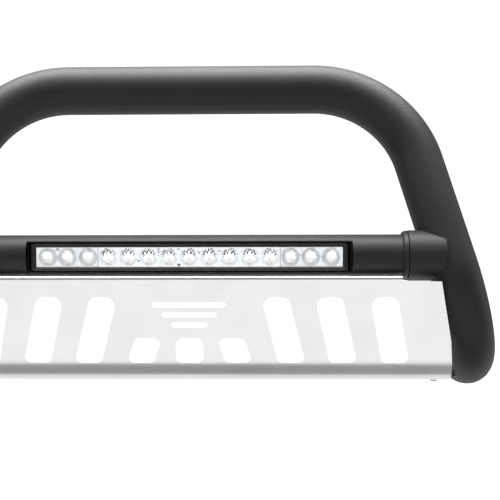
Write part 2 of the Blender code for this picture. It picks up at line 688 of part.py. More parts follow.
SIDES = (("left", -1), ("right", 1))
make_hoop()
leg_tool = make_leg_cutter("leg_clearance", GAP)
plate_tool = make_leg_cutter("plate_clearance", LEG_GAP)
make_light_tube()
make_pocket_frame()
make_lamp_housing()
make_lamp_front()
make_reflector("reflector_spot", -(SPOT_COUNT // 2), SPOT_COUNT // 2)
make_reflector("reflector_flood_left", -(LED_COUNT // 2), -(SPOT_COUNT // 2) - 1)
make_reflector("reflector_flood_right", SPOT_COUNT // 2 + 1, LED_COUNT // 2)
make_led_board()
make_gland()
plate = make_plate(plate_tool)
for side, sign in SIDES:
    make_flange(f"mount_flange_{side}", sign)
    socket = make_socket(f"socket_{side}", sign, leg_tool)
    bush = make_bush(f"bush_{side}", sign)
    make_clamp_screws(socket, bush, side, sign)
    make_lamp_end(side, sign)
    make_lamp_bolt(side, sign)
    make_upper_fixing(side, sign, leg_tool)
    make_lower_fixing(side, sign, leg_tool, plate)
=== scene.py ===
"""Looks for the front grille guard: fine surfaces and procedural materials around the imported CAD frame."""

import json
import math

import bmesh
import bpy
from mathutils import Matrix, Vector


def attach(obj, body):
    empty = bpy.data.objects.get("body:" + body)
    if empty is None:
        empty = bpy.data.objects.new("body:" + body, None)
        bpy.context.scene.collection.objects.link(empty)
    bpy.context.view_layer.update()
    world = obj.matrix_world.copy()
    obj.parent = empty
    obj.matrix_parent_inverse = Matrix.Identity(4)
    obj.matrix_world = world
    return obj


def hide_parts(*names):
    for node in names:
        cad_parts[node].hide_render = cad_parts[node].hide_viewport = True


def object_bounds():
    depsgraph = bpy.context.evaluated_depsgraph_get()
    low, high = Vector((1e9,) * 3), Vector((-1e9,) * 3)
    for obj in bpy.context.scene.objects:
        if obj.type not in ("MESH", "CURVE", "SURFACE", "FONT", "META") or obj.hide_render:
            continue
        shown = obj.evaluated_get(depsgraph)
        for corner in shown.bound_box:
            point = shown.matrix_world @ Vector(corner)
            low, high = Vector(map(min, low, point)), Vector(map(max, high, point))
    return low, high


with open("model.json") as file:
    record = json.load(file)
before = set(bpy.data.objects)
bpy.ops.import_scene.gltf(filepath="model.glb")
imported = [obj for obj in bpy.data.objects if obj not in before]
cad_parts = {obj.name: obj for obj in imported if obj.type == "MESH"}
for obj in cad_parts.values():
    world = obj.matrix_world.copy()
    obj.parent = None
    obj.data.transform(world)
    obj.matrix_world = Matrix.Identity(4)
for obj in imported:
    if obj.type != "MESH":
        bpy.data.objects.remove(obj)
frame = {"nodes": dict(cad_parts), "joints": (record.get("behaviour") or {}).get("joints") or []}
CAD_LOW, CAD_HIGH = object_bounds()

MM = 0.001
AXIS = Vector(frame["joints"][0]["pos_m"])  # middle of the light tube's axis
GUARD = "guard"
LIGHT = "light_bar"
SIDES = (("left", -1), ("right", 1))

# ---------------------------------------------------------------- sizes, from the light tube's axis
GAP = 0.4 * MM
RUN_GAP = 0.5 * MM

HOOP_R = 38.1 * MM
HOOP_WALL = 2.6 * MM
TOP_CORNER = Vector((322.8, 96.0, 255.6)) * MM
LOW_CORNER = Vector((453.0, -62.0, -182.0)) * MM
REAR_END = Vector((436.0, 249.6, -182.0)) * MM
TOP_BEND_R = 169 * MM
LOW_BEND_R = 133 * MM

TUBE_R = 32.5 * MM
TUBE_WALL = 3.0 * MM
TUBE_HALF = 344 * MM
POCKET_HALF_X = 248.9 * MM
POCKET_HALF_Z = 24.9 * MM
POCKET_R = 2.5 * MM
POCKET_BACK = -4 * MM

SOCKET_R = 38.7 * MM
SOCKET_WALL = 2.9 * MM
SEAM_X = 334 * MM
LIP_X = 325 * MM
SOCKET_END = 391 * MM
BUSH_END = 345 * MM
CLAMP_X = 339.6 * MM

LED_COUNT = 15
LED_PITCH = 30.95 * MM
SPOT_COUNT = 9
WINDOW_HALF = Vector((235.0, 0, 15.3)) * MM
LAMP_HALF_X = 237.6 * MM
LAMP_HALF_Z = 20.6 * MM
LAMP_FRONT = -20.4 * MM
LAMP_FLOOR = -4.4 * MM
LENS_T = 2.0 * MM
BOARD_T = 1.6 * MM
CUP_FRONT_R = 14.4 * MM
FLOOD_FLUTES = 32
SPOT_FACETS = 10
CUP_BACK_R = 4.6 * MM
EMITTER_DROP = 5.5 * MM
CAP_T = 4.4 * MM
LAMP_BOLT_X = 150 * MM
GLAND_X = 205 * MM

PLATE_T = 2.0 * MM
PLATE_LINE = ((-15, -36.0), (-46.5, -23.6), (-0.6, -200.5), (76, -200.5))
PLATE_BENDS = ((5.0, 14), (60.0, 28))  # radius and steps
PLATE_BOTTOM = PLATE_LINE[-1][1] * MM
PLATE_HALF_TOP = 381.5 * MM
PLATE_HALF_LOW = 400 * MM
PLATE_HALF_BOTTOM = 405 * MM
NOTCH_X = 322 * MM
FLANGE_NOTCH_Z = -45 * MM
NOTCH_Z = -34.9 * MM
LEG_GAP = 1.2 * MM
TALL_SLOTS = ((144.0, 14.6), (224.5, 13.0), (306.0, 11.3))
SHORT_SLOTS = ((0.0, 0.0), (69.7, 18.8))
SLOT_WIDTH = 41.2 * MM
TALL_TOP = -59.6 * MM
TALL_TOP_R = 14 * MM
SHORT_TOP = -126 * MM
SHORT_TOP_R = 9 * MM
SLOT_BOTTOM = -165.2 * MM
SLOT_LOW_R = 8 * MM
BAR_CUTS = ((112, -72), (84, -88), (56, -104))
BAR_CUT_H = 9 * MM

M6_R = 3.0 * MM
M8_R = 4.0 * MM
LOW_BOLT_X = 385 * MM
LOW_BOLT_Y = 66 * MM
WASHER_T = 1.6 * MM
STUD_X = 366 * MM
STUD_DOWN = 53.5 * MM


# ---------------------------------------------------------------- materials
def new_material(name, metallic=0.0, color=(0.5, 0.5, 0.5), roughness=0.5):
    """A material and its node tree, with the principled shader's plain values set."""
    made = bpy.data.materials.new(name)
    made.use_nodes = True
    shader = made.node_tree.nodes["Principled BSDF"]
    shader.inputs["Metallic"].default_value = metallic
    shader.inputs["Base Color"].default_value = (*color, 1)
    shader.inputs["Roughness"].default_value = roughness
    return made, made.node_tree.nodes, made.node_tree.links, shader


def scaled_coords(nodes, links, scale):
    """Object coordinates, stretched, so that a texture's grain can run along one way."""
    coords = nodes.new("ShaderNodeTexCoord")
    mapping = nodes.new("ShaderNodeMapping")
    mapping.inputs["Scale"].default_value = scale
    links.new(coords.outputs["Object"], mapping.inputs["Vector"])
    return mapping.outputs["Vector"]


def add_noise(nodes, links, scale, detail=2.0, stretch=(1, 1, 1), rough=0.5):
    """A noise value over object coordinates, which can be stretched along one axis."""
    noise = nodes.new("ShaderNodeTexNoise")
    noise.inputs["Scale"].default_value = scale
    noise.inputs["Detail"].default_value = detail
    noise.inputs["Roughness"].default_value = rough
    links.new(scaled_coords(nodes, links, stretch), noise.inputs["Vector"])
    return noise.outputs["Fac"]


def add_ramp(nodes, links, value, low, high, start=0.35, end=0.65):
    """Maps a texture value to a colour or a grey between low and high."""
    ramp = nodes.new("ShaderNodeValToRGB")
    ramp.color_ramp.elements[0].position = start
    ramp.color_ramp.elements[1].position = end
    ramp.color_ramp.elements[0].color = (*low, 1)
    ramp.color_ramp.elements[1].color = (*high, 1)
    links.new(value, ramp.inputs["Fac"])
    return ramp.outputs["Color"]


def add_range(nodes, links, value, low, high, start=0.35, end=0.65):
    """Maps a noise value to a plain range, such as a roughness."""
    step = nodes.new("ShaderNodeMapRange")
    step.inputs["From Min"].default_value = start
    step.inputs["From Max"].default_value = end
    step.inputs["To Min"].default_value = low
    step.inputs["To Max"].default_value = high
    links.new(value, step.inputs["Value"])
    return step.outputs["Result"]


def add_bump(nodes, links, shader, height, strength, distance, below=None):
    """Bump from a height value, on top of another bump where one is given."""
    bump = nodes.new("ShaderNodeBump")
    bump.inputs["Strength"].default_value = strength
    bump.inputs["Distance"].default_value = distance
    links.new(height, bump.inputs["Height"])
    if below is not None:
        links.new(below, bump.inputs["Normal"])
    links.new(bump.outputs["Normal"], shader.inputs["Normal"])
    return bump.outputs["Normal"]


def powder_coat():
    """Satin black powder coat: a fine pebbled skin with faint patches of wear and dust."""
    made, nodes, links, shader = new_material("powder_coat_black")
    shader.inputs["Specular IOR Level"].default_value = 0.36
    patch = add_noise(nodes, links, 9, 3)
    links.new(add_ramp(nodes, links, patch, (0.0105, 0.0105, 0.011), (0.0165, 0.0165, 0.017)),
              shader.inputs["Base Color"])
    grain = add_noise(nodes, links, 700, 2)
    links.new(add_range(nodes, links, grain, 0.46, 0.60), shader.inputs["Roughness"])
    pebble = nodes.new("ShaderNodeTexVoronoi")
    pebble.inputs["Scale"].default_value = 620
    pebble.feature = "SMOOTH_F1"
    links.new(scaled_coords(nodes, links, (1, 1, 1)), pebble.inputs["Vector"])
    first = add_bump(nodes, links, shader, pebble.outputs["Distance"], 0.32, 0.0004)
    add_bump(nodes, links, shader, add_noise(nodes, links, 160, 3), 0.12, 0.0005, first)
    return made


def stainless():
    """Bright stainless sheet, brushed along its length, with a faint cloudiness from the polishing."""
    made, nodes, links, shader = new_material("stainless_brushed", 1.0)
    shader.inputs["Anisotropic"].default_value = 0.3
    streak = add_noise(nodes, links, 1, 4, (14, 2600, 2600), 0.6)
    cloud = add_noise(nodes, links, 14, 3)
    fine = add_ramp(nodes, links, streak, (0.83, 0.83, 0.828), (0.89, 0.89, 0.888), 0.3, 0.7)
    soft = add_ramp(nodes, links, cloud, (0.955, 0.955, 0.955), (1.0, 1.0, 1.0), 0.35, 0.65)
    mix = nodes.new("ShaderNodeMix")
    mix.data_type = "RGBA"
    mix.blend_type = "MULTIPLY"
    mix.inputs["Factor"].default_value = 1.0
    links.new(fine, mix.inputs["A"])
    links.new(soft, mix.inputs["B"])
    links.new(mix.outputs["Result"], shader.inputs["Base Color"])
    links.new(add_range(nodes, links, streak, 0.20, 0.30, 0.3, 0.7), shader.inputs["Roughness"])
    add_bump(nodes, links, shader, streak, 0.04, 0.0001)
    return made


def zinc():
    """Bright zinc plate: a cool steel with a faint straw tint and turning marks."""
    made, nodes, links, shader = new_material("zinc_plate", 1.0)
    tint = add_noise(nodes, links, 160, 3)
    color = add_ramp(nodes, links, tint, (0.55, 0.56, 0.58), (0.68, 0.66, 0.60))
    links.new(color, shader.inputs["Base Color"])
    grain = add_noise(nodes, links, 1500, 2)
    links.new(add_range(nodes, links, grain, 0.24, 0.42), shader.inputs["Roughness"])
    add_bump(nodes, links, shader, grain, 0.15, 0.0001)
    return made


def moulded(name, color, rough_low, rough_high, scale, bump):
    """Moulded plastic or rubber with a fine eroded grain."""
    made, nodes, links, shader = new_material(name)
    shader.inputs["Specular IOR Level"].default_value = 0.36
    patch = add_noise(nodes, links, 40, 2)
    light = tuple(c * 1.5 for c in color)
    links.new(add_ramp(nodes, links, patch, color, light), shader.inputs["Base Color"])
    grain = add_noise(nodes, links, scale, 3)
    links.new(add_range(nodes, links, grain, rough_low, rough_high), shader.inputs["Roughness"])
    add_bump(nodes, links, shader, grain, bump, 0.0003)
    return made


def plated(name, low, high, bump):
    """Vacuum-plated plastic: near mirror, with the faint ripple of the moulding under it."""
    made, nodes, links, shader = new_material(name, 1.0)
    ripple = add_noise(nodes, links, 220, 2)
    color = add_ramp(nodes, links, ripple, (0.86, 0.87, 0.88), (0.94, 0.945, 0.95))
    links.new(color, shader.inputs["Base Color"])
    links.new(add_range(nodes, links, ripple, low, high), shader.inputs["Roughness"])
    add_bump(nodes, links, shader, ripple, bump, 0.0003)
    return made


def clear_lens():
    """Clear polycarbonate with a trace of haze."""
    made, nodes, links, shader = new_material("lens_clear", 0.0, (0.97, 0.98, 0.985), 0.03)
    shader.inputs["Transmission Weight"].default_value = 1.0
    shader.inputs["IOR"].default_value = 1.49
    haze = add_noise(nodes, links, 60, 3)
    links.new(add_range(nodes, links, haze, 0.0, 0.05), shader.inputs["Roughness"])
    return made


def board_mask():
    """White solder mask with a faint copper pattern under it."""
    made, nodes, links, shader = new_material("solder_mask_white")
    track = add_noise(nodes, links, 300, 1, (1, 1, 4))
    links.new(add_ramp(nodes, links, track, (0.72, 0.73, 0.70), (0.84, 0.84, 0.81), 0.45, 0.5),
              shader.inputs["Base Color"])
    links.new(add_range(nodes, links, track, 0.35, 0.5), shader.inputs["Roughness"])
    return made


def phosphor():
    """The emitters' silicone domes over yellow phosphor, with a faint painted glow: light of their own that
    makes them look brighter.
    """
    made, nodes, links, shader = new_material("phosphor")
    shader.inputs["Coat Weight"].default_value = 0.6
    grain = add_noise(nodes, links, 2500, 2)
    color = add_ramp(nodes, links, grain, (0.80, 0.79, 0.72), (0.88, 0.87, 0.82))
    links.new(color, shader.inputs["Base Color"])
    links.new(add_range(nodes, links, grain, 0.25, 0.4), shader.inputs["Roughness"])
    # painted glow: the domes emit a faint light of their own so that they look brighter
    shader.inputs["Emission Color"].default_value = (1, 0.99, 0.95, 1)
    shader.inputs["Emission Strength"].default_value = 0.28
    return made


def ring_white_painted_glow():
    """White ceramic-filled plastic round each emitter, given a painted glow: it emits light of its own though
    it is no lamp.
    """
    made, nodes, links, shader = new_material("ring_white_painted_glow")
    grain = add_noise(nodes, links, 1800, 2)
    color = add_ramp(nodes, links, grain, (0.88, 0.88, 0.88), (0.94, 0.94, 0.94))
    links.new(color, shader.inputs["Base Color"])
    links.new(add_range(nodes, links, grain, 0.3, 0.45), shader.inputs["Roughness"])
    # painted glow: the white plastic ring emits light so that it looks brighter, though it is no lamp
    shader.inputs["Emission Color"].default_value = (1, 1, 1, 1)
    shader.inputs["Emission Strength"].default_value = 0.4
    return made


COAT = powder_coat()
STEEL = stainless()
ZINC = zinc()
NYLON = moulded("nylon_black", (0.012, 0.012, 0.0125), 0.42, 0.55, 900, 0.15)
RUBBER = moulded("rubber_black", (0.010, 0.010, 0.010), 0.62, 0.80, 1200, 0.25)
ANODISED = moulded("aluminium_black", (0.014, 0.014, 0.015), 0.34, 0.48, 1800, 0.12)
SPOT = plated("reflector_bright", 0.04, 0.10, 0.03)
FLOOD = plated("reflector_satin", 0.34, 0.46, 0.06)
LENS = clear_lens()
MASK = board_mask()
PHOSPHOR_PAINTED_GLOW = phosphor()
RING_WHITE_PAINTED_GLOW = ring_white_painted_glow()


# ---------------------------------------------------------------- mesh building
AXES = {
    "X": Matrix(((0, 0, 1), (1, 0, 0), (0, 1, 0))).to_4x4(),
    "Y": Matrix(((1, 0, 0), (0, 0, 1), (0, -1, 0))).to_4x4(),
    "Z": Matrix.Identity(4),
}
UPRIGHT = Matrix.Rotation(math.pi / 2, 4, "X")


def at(x, y, z, axis="Z"):
    """A placement whose own Z runs along the given axis."""
    return Matrix.Translation((x, y, z)) @ AXES[axis]


def make_object(name, bm, material, sharp=35):
    """A bmesh, built from the light tube's axis, as an object in the frame with its faces out."""
    bmesh.ops.transform(bm, matrix=Matrix.Translation(AXIS), verts=bm.verts)
    bmesh.ops.recalc_face_normals(bm, faces=bm.faces)
    mesh = bpy.data.meshes.new(name)
    bm.to_mesh(mesh)
    bm.free()
    mesh.shade_smooth()
    mesh.set_sharp_from_angle(angle=math.radians(sharp))
    made = bpy.data.objects.new(name, mesh)
    mesh.materials.append(material)
    bpy.context.scene.collection.objects.link(made)
    return made


def piece(made, body, slot, *nodes):
    """Sets a finished piece to ride on a body, in place of its CAD nodes."""
    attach(made, body)
    if nodes:
        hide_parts(*nodes)
    return made


def skin(bm, rings, joined=False, capped=True):
    """Joins rings of points into a surface, closed by end faces or joined end to end."""
    pairs = list(zip(rings, rings[1:]))
    if joined:
        pairs.append((rings[-1], rings[0]))
    for one, two in pairs:
        count = max(len(one), len(two))
        for k in range(count):
            face = [one[k % len(one)], one[(k + 1) % len(one)], two[(k + 1) % len(two)], two[k % len(two)]]
            bm.faces.new(list(dict.fromkeys(face)))
    if capped and not joined:
        for ring in (rings[0], rings[-1]):
            if len(ring) > 2:
                bm.faces.new(ring)


def turned_into(bm, profile, place, sides, ring=False, wave=None):
    """Spins (along, radius) points round an axis. wave(turn, along) scales the radius."""
    rings = []
    for along, radius in profile:
        if radius == 0:
            rings.append([bm.verts.new(place @ Vector((0, 0, along)))])
            continue
        row = []
        for k in range(sides):
            turn = 2 * math.pi * k / sides
            size = radius * (wave(turn, along) if wave else 1)
            row.append(bm.verts.new(place @ Vector((size * math.cos(turn), size * math.sin(turn), along))))
        rings.append(row)
    skin(bm, rings, ring)


def turned(name, profile, place, material, sides=64, ring=False, wave=None):
    """An object from a profile of (distance along the axis, radius) points spun about its axis."""
    bm = bmesh.new()
    turned_into(bm, profile, place, sides, ring, wave)
    return make_object(name, bm, material)


def prism(name, outline, low, high, place, material):
    """An outline pushed from low to high along the placement's Z."""
    bm = bmesh.new()
    rings = [[bm.verts.new((x, y, z)) for x, y in outline] for z in (low, high)]
    skin(bm, rings)
    bm.transform(place)
    return make_object(name, bm, material)


def rounded(half_x, half_y, radius, steps=8):
    """A rounded rectangle about the middle."""
    points = []
    for quarter, (sx, sy) in enumerate(((1, 1), (-1, 1), (-1, -1), (1, -1))):
        for k in range(steps + 1):
            turn = math.pi / 2 * (quarter + k / steps)
            x = sx * (half_x - radius) + radius * math.cos(turn)
            points.append((x, sy * (half_y - radius) + radius * math.sin(turn)))
    return points


def framed(name, profile, half_x, half_z, radius, material, steps=8):
    """A rectangular ring in the XZ plane. The profile's points are (inset from the outline, y)."""
    bm = bmesh.new()
    rings = []
    for inset, y in profile:
        outline = rounded(half_x - inset, half_z - inset, max(radius - inset, 1.0 * MM), steps)
        rings.append([bm.verts.new((x, y, z)) for x, z in outline])
    skin(bm, rings, True)
    return make_object(name, bm, material)


def cut(made, tool, operation="DIFFERENCE"):
    """Applies a Boolean and removes its tool."""
    step = made.modifiers.new("cut", "BOOLEAN")
    step.operation = operation
    step.solver = "EXACT"
    step.object = tool
    bake(made)
    bpy.data.objects.remove(tool, do_unlink=True)


def bake(made):
    """Applies an object's modifiers to its mesh."""
    bpy.context.view_layer.update()
    graph = bpy.context.evaluated_depsgraph_get()
    mesh = bpy.data.meshes.new_from_object(made.evaluated_get(graph), depsgraph=graph)
    old = made.data
    made.modifiers.clear()
    made.data = mesh
    bpy.data.meshes.remove(old)


def soften(made, width, segments=3, angle=40):
    """Rounds the sharp edges a little, and keeps flat faces flat in the shading."""
    for polygon in made.data.polygons:
        polygon.use_smooth = True
    weld = made.modifiers.new("weld", "WELD")
    weld.merge_threshold = 0.00002
    bevel = made.modifiers.new("edges", "BEVEL")
    bevel.width = width
    bevel.segments = segments
    bevel.limit_method = "ANGLE"
    bevel.angle_limit = math.radians(angle)
    bevel.harden_normals = False
    bevel.use_clamp_overlap = True
    normal = made.modifiers.new("normals", "WEIGHTED_NORMAL")
    normal.keep_sharp = False
    normal.weight = 100
    return made


def fillet(before, corner, after, radius, steps=10):
    """Points of an arc that rounds one corner of a path."""
    one = (before - corner).normalized()
    two = (after - corner).normalized()
    half = one.angle(two) / 2
    centre = corner + (one + two).normalized() * (radius / math.sin(half))
    start = corner + one * (radius / math.tan(half)) - centre
    end = corner + two * (radius / math.tan(half)) - centre
    return [centre + start.slerp(end, k / steps).normalized() * radius for k in range(steps + 1)]


def mirrored(point):
    """The same point on the other side of the guard."""
    return Vector((-point.x, point.y, point.z))


def hoop_path(steps=40):
    """The hoop's centre line from one rear end over the top to the other, with its bends rounded."""
    middle = Vector((0, TOP_CORNER.y, TOP_CORNER.z))
    half = [REAR_END.copy()]
    half += fillet(REAR_END, LOW_CORNER, TOP_CORNER, LOW_BEND_R, steps)
    half += fillet(LOW_CORNER, TOP_CORNER, middle, TOP_BEND_R, steps)
    return half + [mirrored(point) for point in reversed(half)]


def swept_rings(bm, path, radius, sides):
    """Rings of points round a path, each square to it."""
    rings = []
    side = Vector((1, 0, 0))
    for k, point in enumerate(path):
        ahead = path[min(k + 1, len(path) - 1)] - point
        behind = point - path[max(k - 1, 0)]
        tangent = (ahead.normalized() + behind.normalized()).normalized()
        side = (side - side.project(tangent)).normalized()
        other = tangent.cross(side)
        turns = [2 * math.pi * j / sides for j in range(sides)]
        rings.append([bm.verts.new(point + (side * math.cos(t) + other * math.sin(t)) * radius)
                      for t in turns])
    return rings


def square_off(rings, path):
    """Makes the end rings flat against the mount flanges."""
    for ring, end, near in ((rings[0], path[0], path[1]), (rings[-1], path[-1], path[-2])):
        along = (end - near) / (end.y - near.y)
        for vertex in ring:
            vertex.co += along * (REAR_END.y - vertex.co.y)


# ---------------------------------------------------------------- hoop, sockets, flanges
def make_hoop():
    """The bent hoop tube, open at its rear ends."""
    bm = bmesh.new()
    path = hoop_path()
    outer = swept_rings(bm, path, HOOP_R, 96)
    inner = swept_rings(bm, path, HOOP_R - HOOP_WALL, 96)
    square_off(outer, path)
    square_off(inner, path)
    skin(bm, outer + inner[::-1], True)
    piece(make_object("hoop_skin", bm, COAT), GUARD, "black_coat", "hoop_tube")


def leg_tool(over):
    """The hoop's legs made thicker by a gap, for cutting the pieces that meet them."""
    bm = bmesh.new()
    skin(bm, swept_rings(bm, hoop_path(24), HOOP_R + over, 96))
    return make_object("leg_tool", bm, COAT)


def make_socket(side, sign):
    """The welded sleeve that holds one end of the light tube, with its clamp screw holes."""
    inner = SOCKET_R - SOCKET_WALL
    edge = 1.4 * MM
    floor = BUSH_END + 3 * MM
    arc = [(SEAM_X + edge * (1 - math.cos(t)), SOCKET_R - edge * (1 - math.sin(t)))
           for t in (0, math.pi / 6, math.pi / 3, math.pi / 2)]
    nose = 2.6 * MM
    end = [(SOCKET_END - nose * (1 - math.sin(t)), SOCKET_R - nose * (1 - math.cos(t)))
           for t in (0, math.pi / 6, math.pi / 3, math.pi / 2)]
    profile = [(floor, 0), (floor, inner), (SEAM_X, inner)] + arc + end + [(SOCKET_END, 0)]
    made = turned(f"socket_skin_{side}", [(sign * a, r) for a, r in profile], at(0, 0, 0, "X"), COAT, 128)
    cut(made, leg_tool(GAP))
    for tilt in (35, -35):
        place = Matrix.Rotation(math.radians(tilt), 4, "X") @ at(sign * CLAMP_X, 0, 0, "Y")
        profile = ((20 * MM, 0), (20 * MM, 3.5 * MM), (60 * MM, 3.5 * MM), (60 * MM, 0))
        hole = turned("hole", profile, place, ZINC, 32)
        cut(made, hole)
    made.data.set_sharp_from_angle(angle=math.radians(35))
    piece(made, GUARD, "black_coat", f"socket_{side}")


def make_bush(side, sign):
    """The flanged nylon bush, whose lip shows as a ring at the socket's mouth."""
    inner = TUBE_R + RUN_GAP
    outer = SOCKET_R - SOCKET_WALL - GAP
    lip = SOCKET_R - 0.6 * MM
    flare = []
    for k in range(9):
        t = k / 8 * math.pi / 2
        radius = inner + 0.7 * MM + (lip - inner - 0.7 * MM) * math.sin(t)
        flare.append((LIP_X + 6.5 * MM * (1 - math.cos(t)), radius))
    profile = [(LIP_X, inner)] + flare + [(SEAM_X - 1.3 * MM, lip), (SEAM_X - GAP, lip - 1.0 * MM),
                                          (SEAM_X - GAP, outer), (BUSH_END, outer), (BUSH_END, inner)]
    profile = [(sign * a, r) for a, r in profile]
    made = turned(f"bush_skin_{side}", profile, at(0, 0, 0, "X"), NYLON, 128, True)
    piece(made, GUARD, "black_nylon", f"bush_{side}")


def make_flange_weld(side, sign):
    """The bead between the hoop's rear end and its flange."""
    ripple = 46

    def wave(turn, _along):
        return 1 + 0.006 * math.sin(ripple * turn)

    profile = []
    for k in range(9):
        t = k / 8 * math.pi / 2
        radius = HOOP_R + 0.4 * MM + 6 * MM * (1 - math.cos(t))
        profile.append((-6 * MM + 6 * MM * math.sin(t) - 0.3 * MM, radius))
    profile += [(-0.3 * MM, HOOP_R + 0.2 * MM), (-6.3 * MM, HOOP_R + 0.2 * MM)]
    place = at(sign * REAR_END.x, REAR_END.y + 0.1 * MM, REAR_END.z, "Y")
    piece(turned(f"flange_weld_{side}", profile, place, COAT, 184, True, wave), GUARD, "black_coat")


# ---------------------------------------------------------------- fasteners
def hexagon(across, turn_steps=12):
    """Radius of a hexagon's outline at each of turn_steps times 6 directions."""
    apothem = across / 2
    directions = []
    for k in range(6 * turn_steps):
        turn = 2 * math.pi * k / (6 * turn_steps)
        local = (turn + math.pi / 6) % (math.pi / 3) - math.pi / 6
        directions.append((turn, apothem / math.cos(local)))
    return directions


def hex_rings(bm, place, rows, across):
    """Rings of a hexagonal body: each row is (along, most radius), which trims the corners to a cone."""
    rings = []
    for along, most in rows:
        ring = []
        for turn, size in hexagon(across):
            r = min(size, most)
            ring.append(bm.verts.new(place @ Vector((r * math.cos(turn), r * math.sin(turn), along))))
        rings.append(ring)
    return rings


def round_ring(bm, place, along, radius, count=72):
    """A ring of points at one distance along a placement."""
    return [bm.verts.new(place @ Vector((radius * math.cos(2 * math.pi * k / count),
                                         radius * math.sin(2 * math.pi * k / count), along)))
            for k in range(count)]


def thread_rows(low, high, radius, pitch):
    """Ridges that stand for a thread."""
    rows = []
    z = low
    while z < high - pitch:
        rows += [(z, radius - 0.12 * pitch), (z + 0.25 * pitch, radius),
                 (z + 0.5 * pitch, radius - 0.12 * pitch), (z + 0.75 * pitch, radius - 0.5 * pitch)]
        z += pitch
    return rows


def make_hex_bolt(name, radius, across, head_h, length, pitch, place, body, node):
    """Head above z = 0, shank down to -length with a thread on its far end."""
    bm = bmesh.new()
    corner = across / 2 / math.cos(math.pi / 6)
    rings = [round_ring(bm, place, -length, radius - 0.8 * MM)]
    for z, r in thread_rows(-length + 0.8 * MM, -length * 0.3, radius, pitch):
        rings.append(round_ring(bm, place, z, r))
    rings.append(round_ring(bm, place, -0.02 * MM, radius))
    seat = across * 0.47
    rings.append(round_ring(bm, place, 0, seat))
    rings += hex_rings(bm, place, [(0.3 * MM, corner * 0.97), (0.7 * MM, corner), (head_h - 0.8 * MM, corner),
                                   (head_h - 0.3 * MM, corner * 0.965), (head_h, across * 0.46)], across)
    skin(bm, rings)
    piece(make_object(name, bm, ZINC, 30), body, "zinc_steel", node)


def make_nut(name, low, high, across, bore, place, body, node):
    """A hexagon nut with chamfered corners and a chamfered bore."""
    bm = bmesh.new()
    corner = across / 2 / math.cos(math.pi / 6)
    rings = [round_ring(bm, place, low + 0.5 * MM, bore), round_ring(bm, place, low, bore + 0.5 * MM)]
    rows = [(low, across * 0.47), (low + 0.5 * MM, corner * 0.97), (low + 1.1 * MM, corner),
            (high - 1.1 * MM, corner), (high - 0.5 * MM, corner * 0.97), (high, across * 0.47)]
    rings += hex_rings(bm, place, rows, across)
    rings += [round_ring(bm, place, high, bore + 0.5 * MM), round_ring(bm, place, high - 0.5 * MM, bore)]
    skin(bm, rings, True)
    piece(make_object(name, bm, ZINC, 30), body, "zinc_steel", node)


def make_clamp_screws(side, sign):
    """The socket-head screws that grip the light tube's end from behind."""
    for word, tilt in (("upper", 35), ("lower", -35)):
        place = Matrix.Rotation(math.radians(tilt), 4, "X") @ at(sign * CLAMP_X, 0, 0, "Y")
        tip = TUBE_R + RUN_GAP
        head = SOCKET_R + 0.5 * MM
        bm = bmesh.new()
        rings = [round_ring(bm, place, tip, M6_R - 0.8 * MM), round_ring(bm, place, tip + 0.8 * MM, M6_R),
                 round_ring(bm, place, head, M6_R), round_ring(bm, place, head, 4.7 * MM),
                 round_ring(bm, place, head + 0.3 * MM, 5 * MM),
                 round_ring(bm, place, head + 5.2 * MM, 5 * MM),
                 round_ring(bm, place, head + 6 * MM, 4.3 * MM)]
        rings += hex_rings(bm, place, [(head + 6 * MM, 3.2 * MM), (head + 5.6 * MM, 2.95 * MM),
                                       (head + 3 * MM, 2.95 * MM)], 5 * MM)
        skin(bm, rings)
        made = make_object(f"clamp_screw_skin_{side}_{word}", bm, ZINC, 30)
        piece(made, GUARD, "zinc_steel", f"clamp_screw_{side}_{word}")


# ---------------------------------------------------------------- skid plate
def plate_section():
    """The plate's section: its front line rounded at each bend, and the same line set back a thickness."""
    line = [Vector((y, z, 0)) * MM for y, z in PLATE_LINE]
    front = [line[0]]
    for corner, (radius, steps) in zip(range(1, len(line) - 1), PLATE_BENDS):
        front += fillet(line[corner - 1], line[corner], line[corner + 1], radius * MM, steps)
    front.append(line[-1])
    behind = []
    for k, point in enumerate(front):
        ahead = front[min(k + 1, len(front) - 1)]
        past = front[max(k - 1, 0)]
        along = (ahead - past).normalized()
        behind.append(point + Vector((-along.y, along.x, 0)) * PLATE_T)
    return [tuple(p.xy) for p in front] + [tuple(p.xy) for p in reversed(behind)]


def leaning_slot(x, lean, top, top_radius):
    """A slot's outline: level ends, and sides that lean outwards at the foot."""
    middle = (top + SLOT_BOTTOM) / 2
    slope = math.tan(math.radians(lean))
    ends = ((top, 1, top_radius), (top, -1, top_radius),
            (SLOT_BOTTOM, -1, SLOT_LOW_R), (SLOT_BOTTOM, 1, SLOT_LOW_R))
    corners = [Vector((x + edge * SLOT_WIDTH / 2 - (z - middle) * slope, z, 0)) for z, edge, _ in ends]
    outline = []
    for k, (_, _, radius) in enumerate(ends):
        outline += fillet(corners[k - 1], corners[k], corners[(k + 1) % 4], radius, 10)
    return [tuple(p.xy) for p in outline]


